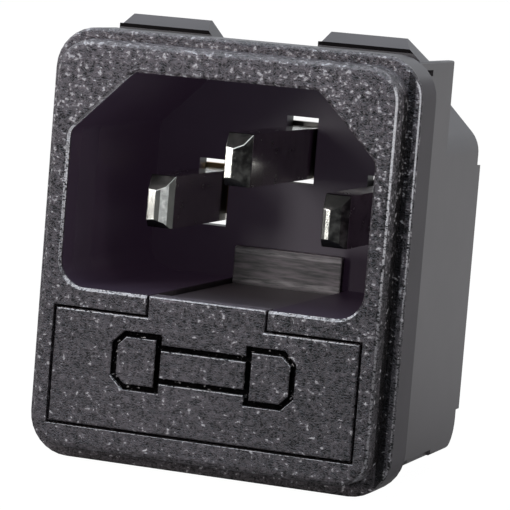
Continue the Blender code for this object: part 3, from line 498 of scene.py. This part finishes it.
def plastic_material(name, grain_back, housing):
    """Black moulding: eroded grain in front of the depth grain_back, smooth behind it.

    The housing has the inlet's walls, which are smooth, painted darker as shade and given a faint painted
    glow, and lines of painted shade. Any other moulding is the drawer, with painted shade in its sign
    grooves and its scratched lug.
    """
    values = settings().moulded
    shader = Shader(name)
    place = shader.place()
    x, y, z = shader.axes(place)
    across, along, upward = shader.normal_axes()
    front = CAD_BOX[0].y
    rough = 1.0 - y.step(grain_back, grain_back + GRAIN_FADE)
    base = values.colour
    if housing:
        outward = x * across + (z - (INLET_FLOOR + INLET_TOP) / 2) * upward
        inside = ((1.0 - x.size().step(INLET_HALF, INLET_HALF + SOFT))
                  * z.between(INLET_FLOOR, INLET_TOP, SOFT)
                  * y.between(front + CAVITY_MARGIN, BULKHEAD_FRONT + CAVITY_MARGIN, CAVITY_FADE)
                  * (1.0 - outward.step(*CAVITY_OUTWARD)))
        rough = rough * (1.0 - inside)
        # Painted shade: the inlet's inner walls take the darker cavity colour
        base = shader.mix(inside, values.colour, values.cavity_shade_colour)

    # The eroded grain: fine worms, coarse patches, wide blotches, and bright specks that are painted glints
    fine = shader.noise(shader.stretched(place, GRAIN_SQUEEZE), values.grain)
    worm = 1.0 - ((fine - 0.5).size() * WORM_CONTRAST).at_most(1.0)
    coarse = shader.noise(place, COARSE_GRAINS * values.grain, detail=1.0)
    blotch = shader.noise(place, BLOTCH_GRAINS * values.grain)
    high = z.step(*GRAIN_RISE)
    glint_speck = (fine + (coarse - 0.5) * SPECK_CLUMPS + high * SPECK_RISE).step(*SPECK_CUT) * rough
    eroded = ((worm * WORM_TONE - WORM_LOSS + (coarse - 0.5) * COARSE_TONE)
              * (high * GRAIN_GAIN + GRAIN_LEAST))
    lit = z.step(*LIT_RISE) * LIT_TONE - x.step(*SHADED_SIDE) * SHADED_TONE
    tone = (eroded + lit) * rough + (blotch - 0.5) * BLOTCH_TONE + 1.0
    # Painted highlight on the lips of edges that face partly up
    lip_highlight = upward.step(*TILTED) * (1.0 - upward.step(*STRAIGHT_UP)) * rough
    side = across.size().step(*NEARLY_STRAIGHT) * y.between(grain_back, 0.0, SOFT)

    if housing:
        # Painted highlights: on the bezel's right front edge, and on the lips of edges below SILL_LEVEL
        flank_highlight = (across.between(*FLANK_SPAN) * (1.0 - upward.step(*FLANK_TILT))
                 * rough * (z.step(*FLANK_RISE) + FLANK_LEAST))
        shine = worm.step(*SHINE_WORMS).at_least(z.step(*SHINE_RISE))
        sill = 1.0 - z.step(SILL_LEVEL, SILL_LEVEL + SOFT)
        highlight_mask = (flank_highlight * shine).at_least(lip_highlight * (sill * worm * LIP_SHINE_SHARE + LIP_LEAST))
        # Painted shade: in the rebate, on the latches' fronts just behind the flange, at the bezel's foot
        # and in the pocket beside the drawer's lug
        rebate = y.between(0.0, REBATE_END, SOFT) * (1.0 - z.step(REBATE_TOP, REBATE_TOP + SOFT))
        start, stop, fade = FOOT_SPAN
        foot = (x.between(BEZEL_HALF + start, BEZEL_HALF + stop, fade)
                * y.between(front + FOOT_START, grain_back, SOFT))
        notch = (y.between(*NOTCH_SPAN, SOFT) * z.step(LATCH_FOOT, LATCH_FOOT + SOFT)
                 * along.size().step(*NEARLY_STRAIGHT))
        pocket = (inside * x.step(*POCKET_SIDE) * (1.0 - z.step(*POCKET_TOP))
                  * y.step(*POCKET_DEPTH))
        painted_shade = rebate.at_least(notch).at_least(foot * FOOT_SHADE).at_least(pocket * POCKET_SHADE)
    else:
        # Painted shade in the sign grooves
        start, stop = GROOVE_SPAN
        groove = ((1.0 - x.size().step(SIGN_HALF_WIDTH, SIGN_HALF_WIDTH + SOFT))
                  * z.between(SIGN_LEVEL - SIGN_HALF_HEIGHT, SIGN_LEVEL + SIGN_HALF_HEIGHT, SOFT)
                  * y.between(front + start, front + stop, SOFT))
        scratch = shader.noise(shader.stretched(place, SCRATCH_PULL), SCRATCH_WIDTH,
                               detail=3.0, roughness=0.6)
        lug = z.step(RAIL_TOP, RAIL_TOP + SOFT)
        turned = 1.0 - across.size().at_least(along.size()).at_least(upward.size())
        # Painted highlights on the lug's top and foot edges and on its turned corners, broken up by its
        # scratches
        lug_edge_highlight = z.between(*LUG_TOP_SPAN) + z.between(*LUG_FOOT_SPAN)
        lug_edge_highlight = ((0.0 - along).step(*STRAIGHT) * lug_edge_highlight * scratch.step(*LUG_EDGE_SCRATCHES)
                * LUG_EDGE_SHARE * (1.0 - rough))
        highlight_mask = (lip_highlight * worm.step(*LIP_SHINE_WORMS) * LIP_SHINE_SHARE).at_least(lug_edge_highlight)
        highlight_mask = highlight_mask.at_least(lug * turned.step(*LUG_CORNER) * scratch)
        painted_shade = groove
        # The lug's scratches, and painted light that makes faces looking straight up lighter
        tone = (tone + lug * ((scratch - 0.5) * SCRATCH_TONE + LUG_TONE)
                + upward.step(*STRAIGHT) * TOP_LIGHT_TONE)

    # The colour carries painted light and shade, and turns pale with painted glints and painted highlights
    shade = shader.node("ShaderNodeVectorMath", {"operation": "SCALE"},
                        {0: base, "Scale": (tone * (1.0 - painted_shade * PAINTED_SHADE_SHARE)).at_least(DARKEST_TONE)})
    colour = shader.mix((glint_speck * SPECK_SHARE).at_least(highlight_mask), shade, HIGHLIGHT_COLOUR)
    pit = (1.0 - worm) * rough * PIT_METALLIC * (1.0 - highlight_mask)
    roughness = (values.roughness + rough * (ROUGH_GRAIN - worm * ROUGH_WORMS)
                 - glint_speck * ROUGH_SPECKS - highlight_mask * ROUGH_HIGHLIGHT + side * ROUGH_SIDES)
    height = (worm + coarse + glint_speck * SPECK_SHARE) * rough
    shader.set(base_color=colour, metallic=pit.at_least(painted_shade * PAINTED_SHADE_SHARE), roughness=roughness,
               normal=shader.bump(height, BUMP_DEPTH))
    # A faint painted glow on the inlet's inner walls
    if housing:
        shader.set(emission_color=shader.mix(inside, (0.0, 0.0, 0.0), CAVITY_GLOW), emission_strength=1.0)
    return shader.material


def metal_material(name, colour, roughness, smudge, blades=False, front_shade=0.0):
    """Drawn or stamped metal: fine lines along its length, and smudges.

    A blade's tip has painted shade but for its left facet, and painted highlights on the left blade, on
    upturned faces of the left and middle tips and on the right blade's pale top. The last argument is how
    far painted shade darkens the faces toward the inlet.
    """
    shader = Shader(name)
    place = shader.place()
    lines = shader.noise(shader.stretched(place, LINE_PULL), LINE_WIDTH)
    marks = shader.noise(place, SMUDGE_SIZE, detail=4.0, roughness=0.6)
    dark = marks.step(*SMUDGE_CUT) * smudge
    tint = shader.mix(dark, colour, tuple(SMUDGE_TONE * channel for channel in colour))
    metallic = 1.0
    across, along, upward = shader.normal_axes()
    ahead = 0.0 - along
    facing = ahead.step(*FRONTAL)
    # Painted shade on the faces toward the inlet
    if front_shade:
        tint = shader.mix(facing * front_shade, tint, METAL_SHADE)
    if blades:
        x, y = shader.axes(place)[:2]
        spots = shader.noise(place, SPOT_SIZE, detail=3.0, roughness=0.6).step(*SPOT_CUT)
        facet = (1.0 - across.step(*FACET_TURN)) * (1.0 - upward.size().step(*FACET_TILT))
        tip = facing * (1.0 - facet)
        bevel = ahead.step(*BEVEL_FRONTAL) * upward.size().step(*BEVEL_TILT)
        # Painted shade on the tips, strongest on the bevels and on a strip of the right blade's tip
        corner = facing * x.between(*CORNER_SPAN)
        tip_shade = tip * (x.step(*TIP_SHADE_SIDE) * TIP_SHADE_GAIN + TIP_SHADE_LEAST)
        tip_shade = tip_shade * (1.0 - spots * SPOT_LOSS)
        tip_shade = tip_shade.at_least(bevel * BEVEL_SHARE).at_least(corner * CORNER_SHARE)
        # Painted highlights in a pale colour that is not metallic: upturned faces of the left and middle
        # tips, a strip of the left blade's tip, and the right blade's top face
        ridge_highlight = upward.between(*RIDGE_SPAN) * facing * (1.0 - x.step(*RIDGE_SIDE))
        glint = x.between(*GLINT_SPAN) * tip * (1.0 - bevel) * (spots * GLINT_GAIN + GLINT_LEAST)
        blade_highlight = upward.step(*STRAIGHT) * x.step(*TOP_HIGHLIGHT_SIDE) * y.step(*TOP_HIGHLIGHT_DEPTH)
        blade_highlight = blade_highlight.at_least(ridge_highlight * RIDGE_SHARE).at_least(glint)
        tint = shader.mix(blade_highlight, shader.mix(tip_shade, tint, METAL_SHADE), BLADE_HIGHLIGHT_COLOUR)
        metallic = 1.0 - blade_highlight
    shader.set(metallic=metallic, base_color=tint,
               roughness=(lines - 0.5) * LINE_ROUGH + dark * SMUDGE_ROUGH + roughness,
               normal=shader.bump(lines * LINE_BUMP + marks, METAL_BUMP, strength=0.5))
    return shader.material


class INLET_OT_housing(bpy.types.Operator):
    """Build the moulded housing with its rounded edges and grain"""
    bl_idname = "inlet.housing"
    bl_label = "Housing"

    def execute(self, context):
        bm = node_mesh("housing")
        self.close_slots(bm)
        round_edges(bm, settings().moulded.edge, front=HOUSING_BOX[0].y)
        round_edges(bm, settings().moulded.edge)
        material = plastic_material("housing_plastic", HOUSING_BOX[0].y + HOUSING_GRAIN_DEPTH,
                                    housing=True)
        add_piece("moulded_housing", bm, material, "housing", ["housing"])
        return {"FINISHED"}

    def close_slots(self, bm):
        """Brings the lower ends of the bulkhead's slots nearer to the blades, as in the photograph."""
        for node in BLADES:
            low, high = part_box(node)
            across = (low.x + high.x) / 2
            level = low.z + BLADE_HALF[1]
            for vert in bm.verts:
                if (vert.co.y > BULKHEAD_FRONT and abs(vert.co.x - across) < BLADE_HALF[1]
                        and abs(vert.co.z - level + SLOT_HALF) < ON_SLOT_END):
                    vert.co.z = level - SLOT_SEEN_HALF


class INLET_OT_drawer(bpy.types.Operator):
    """Build the fuse drawer with its engraved sign, rail and pull lug"""
    bl_idname = "inlet.drawer"
    bl_label = "Fuse drawer"

    def execute(self, context):
        bm = node_mesh("fuse_drawer")
        self.close_seam(bm)
        round_edges(bm, settings().moulded.edge * FRONT_EDGE_SCALE, front=DRAWER_BOX[0].y)
        round_edges(bm, settings().moulded.edge)
        material = plastic_material("drawer_plastic", DRAWER_BOX[0].y + DRAWER_GRAIN_DEPTH,
                                    housing=False)
        add_piece("moulded_drawer", bm, material, "drawer", ["fuse_drawer"])
        return {"FINISHED"}

    def close_seam(self, bm):
        """Widens the face slab so that its seam is as thin as the photograph's, and deepens the sign."""
        grow = settings().moulded.seam
        front, half, bottom = DRAWER_BOX[0].y, DRAWER_BOX[1].x, DRAWER_BOX[0].z
        for vert in bm.verts:
            if vert.co.y > front + FACE_SLAB + ON_FACE:
                continue
            outer = abs(vert.co.x) > half - ON_OUTLINE
            tab_side = (vert.co.z > SHOULDER - ON_OUTLINE
                        and abs(abs(vert.co.x) - TAB_HALF) < ON_OUTLINE)
            if outer or tab_side:
                vert.co.x += copysign(grow, vert.co.x)
            if vert.co.z < bottom + ON_OUTLINE:
                vert.co.z -= grow
            elif outer and vert.co.z > SHOULDER - ON_OUTLINE:
                vert.co.z += grow
            elif tab_side and vert.co.z < SHOULDER + ON_LEVEL:
                vert.co.z += grow
            if abs(vert.co.y - front - SIGN_FLOOR) < ON_FACE and abs(vert.co.x) < SIGN_DEEP_HALF:
                vert.co.y += SIGN_EXTRA


class INLET_OT_blades(bpy.types.Operator):
    """Build the three contact blades"""
    bl_idname = "inlet.blades"
    bl_label = "Blades"

    def execute(self, context):
        nickel = metal_material("nickel_plate", settings().metal.nickel, roughness=0.15, smudge=0.6,
                                blades=True)
        for node in BLADES:
            bm = node_mesh(node)
            self.grind_tip(bm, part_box(node))
            round_edges(bm, settings().metal.edge, BLADE_ANGLE)
            add_piece("plated_" + node, bm, nickel, "housing", [node])
        return {"FINISHED"}

    def grind_tip(self, bm, box):
        """Squares the blade's end off, and grinds it to one shallow facet, a slanted face and bevels."""
        low, high = box
        end = Vector(((low.x + high.x) / 2, low.y, (low.z + high.z) / 2))
        for vert in bm.verts:
            if vert.co.y < end.y + ON_FACE:
                vert.co.x = end.x + copysign(BLADE_HALF[0], vert.co.x - end.x)
                vert.co.z = end.z + copysign(BLADE_HALF[1], vert.co.z - end.z)
        for axis, cuts in ((Vector((1.0, 0.0, 0.0)), TIP_PLAN),
                           (Vector((0.0, 0.0, 1.0)), [TIP_TOP, TIP_BOTTOM])):
            for (start, near), (stop, far) in cuts:
                normal = axis * (far - near) - Vector((0.0, 1.0, 0.0)) * (stop - start)
                bmesh.ops.bisect_plane(bm, geom=bm.verts[:] + bm.edges[:] + bm.faces[:], dist=MERGE,
                                       plane_co=end + axis * start + Vector((0.0, near, 0.0)),
                                       plane_no=normal.normalized(), clear_outer=True)
                bmesh.ops.holes_fill(bm, edges=[edge for edge in bm.edges if edge.is_boundary], sides=0)


class INLET_OT_terminals(bpy.types.Operator):
    """Build the rear terminals and the spring clips"""
    bl_idname = "inlet.terminals"
    bl_label = "Terminals and clips"

    def execute(self, context):
        values = settings().metal
        tin = metal_material("tinned_brass", values.tin, roughness=0.32, smudge=0.3, front_shade=0.9)
        bronze = metal_material("spring_bronze", values.bronze, roughness=0.3, smudge=0.3)
        for node, metal, slot in (("neutral_tab", tin, "terminal_tin"), ("earth_tab", tin, "terminal_tin"),
                                  ("fuse_clip_left", bronze, "clip_bronze"),
                                  ("fuse_clip_right", bronze, "clip_bronze")):
            bm = node_mesh(node)
            if node != "fuse_clip_right":
                self.raise_foot(bm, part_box(node)[1].z)
            round_edges(bm, values.edge * SHEET_EDGE_SCALE)
            add_piece("stamped_" + node, bm, metal, "housing", [node])
        return {"FINISHED"}

    def raise_foot(self, bm, top):
        """Lets the sheet behind the bulkhead reach up into the blade's slot, where it shows."""
        for vert in bm.verts:
            if vert.co.z > top - ON_LEVEL:
                vert.co.z += FOOT_RISE


class INLET_OT_fuses(bpy.types.Operator):
    """Build the working fuse and the spare"""
    bl_idname = "inlet.fuses"
    bl_label = "Fuses"

    def execute(self, context):
        glass = Shader("fuse_glass")
        streak = glass.noise(glass.place(), GLASS_STREAK_SIZE)
        glass.surface.inputs["IOR"].default_value = GLASS_REFRACTION
        glass.set(base_color=GLASS_COLOUR, transmission_weight=1.0,
                  roughness=streak * GLASS_STREAK_ROUGH + GLASS_LEAST_ROUGH)
        cap = metal_material("fuse_cap_nickel", settings().metal.nickel, roughness=0.16, smudge=0.15)
        wire = metal_material("fuse_wire_metal", WIRE_COLOUR, roughness=0.3, smudge=0.1)
        for fuse in ("fuse", "spare"):
            add_piece(fuse + "_glass_tube", node_mesh(fuse + "_tube"), glass.material,
                      "drawer", [fuse + "_tube"])
            add_piece(fuse + "_element", node_mesh(fuse + "_wire"), wire,
                      "drawer", [fuse + "_wire"])
            for side in ("left", "right"):
                node = f"{fuse}_cap_{side}"
                bm = node_mesh(node)
                round_edges(bm, CAP_EDGE, CAP_ANGLE)
                add_piece(f"{fuse}_end_cap_{side}", bm, cap, "drawer", [node])
        return {"FINISHED"}


def add_lamp(name, lamp, power, aim=MODULE_MIDDLE):
    """Adds a rectangular lamp that faces its aim."""
    place, width, height, colour = lamp
    light = bpy.data.lights.new(name, "AREA")
    light.shape = "RECTANGLE"
    light.size = width
    light.size_y = height
    light.energy = power
    light.color = colour
    item = bpy.data.objects.new(name, light)
    bpy.context.scene.collection.objects.link(item)
    item.location = place
    item.rotation_mode = "QUATERNION"
    item.rotation_quaternion = (Vector(aim) - Vector(place)).to_track_quat("-Z", "Y")


class INLET_OT_stage(bpy.types.Operator):
    """Set up the floor, the soft light and the photograph's camera"""
    bl_idname = "inlet.stage"
    bl_label = "Stage"

    def execute(self, context):
        self.add_camera()
        self.add_floor()
        self.add_world()
        values = settings().stage
        add_lamp("top_lamp", TOP_LAMP, values.top_power)
        add_lamp("front_lamp", FRONT_LAMP, values.front_power, FRONT_LAMP_AIM)
        add_lamp("right_lamp", RIGHT_LAMP, values.side_power)
        add_lamp("left_lamp", LEFT_LAMP, values.side_power)
        context.scene.view_settings.view_transform = "Standard"
        return {"FINISHED"}

    def add_camera(self):
        """Aims the camera as the photograph's was, found by fitting the blades and the bezel."""
        camera = bpy.data.cameras.new("photo_camera")
        camera.sensor_width = CAMERA_SENSOR
        camera.lens = CAMERA_LENS
        camera.clip_start = CAMERA_NEAR
        item = bpy.data.objects.new("photo_camera", camera)
        bpy.context.scene.collection.objects.link(item)
        yaw, up = radians(CAMERA_YAW), radians(CAMERA_ELEVATION)
        back = Vector((sin(yaw) * cos(up), -cos(yaw) * cos(up), sin(up)))
        target = Vector((AIM_X, HOUSING_BOX[0].y, INLET_LEVEL - AIM_BELOW_INLET))
        roll = Matrix.Rotation(radians(CAMERA_ROLL), 3, "Z").to_quaternion()
        item.location = target + back * CAMERA_DISTANCE
        item.rotation_mode = "QUATERNION"
        item.rotation_quaternion = (-back).to_track_quat("-Z", "Y") @ roll
        bpy.context.scene.camera = item

    def add_floor(self):
        """A pale floor under the module that shows white and keeps the module's shadow."""
        bm = bmesh.new()
        bmesh.ops.create_grid(bm, x_segments=1, y_segments=1, size=FLOOR_HALF,
                              matrix=Matrix.Translation((0.0, 0.0, CAD_BOX[0].z)))
        mesh = bpy.data.meshes.new("floor")
        bm.to_mesh(mesh)
        bm.free()
        floor = bpy.data.objects.new("floor", mesh)
        bpy.context.scene.collection.objects.link(floor)
        shader = Shader("floor_paper")
        shader.set(base_color=FLOOR_COLOUR, roughness=FLOOR_ROUGH)
        mesh.materials.append(shader.material)
        camera, mirror = shader.rays("Is Camera Ray"), shader.rays("Is Glossy Ray")
        behind = shader.axes(shader.place())[1].step(*FLOOR_BEHIND)
        strength = camera * FLOOR_SEEN + mirror * (behind * FLOOR_MIRROR_GAIN + FLOOR_MIRROR_LEAST)
        white = shader.node("ShaderNodeEmission", None, {"Color": WHITE, "Strength": strength})
        share = camera * FLOOR_SEEN_SHARE + mirror * FLOOR_MIRROR_SHARE
        mixed = shader.node("ShaderNodeMixShader", None, {0: share})
        shader.links.new(shader.surface.outputs[0], mixed.link.node.inputs[1])
        shader.links.new(white.link, mixed.link.node.inputs[2])
        shader.links.new(mixed.link, shader.nodes["Material Output"].inputs["Surface"])

    def add_world(self):
        """White behind the module, a room that is darker in front in mirrors, and a weaker, even light."""
        world = bpy.data.worlds.new("studio")
        bpy.context.scene.world = world
        sky = Shader("studio", world)
        ahead = 0.0 - sky.axes(sky.node("ShaderNodeTexCoord", output="Generated"))[1]
        room = 1.0 - ahead.step(*ROOM_AHEAD) * ROOM_LOSS
        seen = sky.rays("Is Camera Ray").at_least(sky.rays("Is Transmission Ray"))
        mirror = sky.rays("Is Glossy Ray")
        even = (1.0 - seen.at_least(mirror)) * settings().stage.sky
        tint = sky.mix(seen, SKY_COLOUR, WHITE)
        sky.set(color=tint, strength=(seen + mirror * room).at_most(1.0) + even)


class FinishSettings(bpy.types.PropertyGroup):
    """The settings that the sidebar shows"""
    moulded: PointerProperty(type=MouldedSettings, name="Moulded plastic", description="Housing and drawer")
    metal: PointerProperty(type=MetalSettings, name="Metal", description="Blades, terminals, clips, caps")
    stage: PointerProperty(type=StageSettings, name="Stage", description="Floor, light and camera")


OPERATORS = (INLET_OT_stage, INLET_OT_housing, INLET_OT_drawer, INLET_OT_blades, INLET_OT_terminals,
             INLET_OT_fuses)


class INLET_PT_finish(bpy.types.Panel):
    """Lists the steps and their settings in the sidebar"""
    bl_label = "Power entry module"
    bl_idname = "INLET_PT_finish"
    bl_space_type = "VIEW_3D"
    bl_region_type = "UI"
    bl_category = "Inlet"

    def draw(self, context):
        for operator in OPERATORS:
            self.layout.operator(operator.bl_idname)
        for group in (settings().moulded, settings().metal, settings().stage):
            box = self.layout.box()
            for key in group.bl_rna.properties.keys():
                if key not in ("rna_type", "name"):
                    box.prop(group, key)


CLASSES = (MouldedSettings, MetalSettings, StageSettings, FinishSettings) + OPERATORS + (INLET_PT_finish,)


def register():
    for item in CLASSES:
        bpy.utils.register_class(item)
    bpy.types.Scene.inlet_finish = PointerProperty(type=FinishSettings)


def unregister():
    del bpy.types.Scene.inlet_finish
    for item in reversed(CLASSES):
        bpy.utils.unregister_class(item)


def main():
    register()
    bpy.ops.inlet.stage()
    bpy.ops.inlet.housing()
    bpy.ops.inlet.drawer()
    bpy.ops.inlet.blades()
    bpy.ops.inlet.terminals()
    bpy.ops.inlet.fuses()


if __name__ == "__main__":
    main()
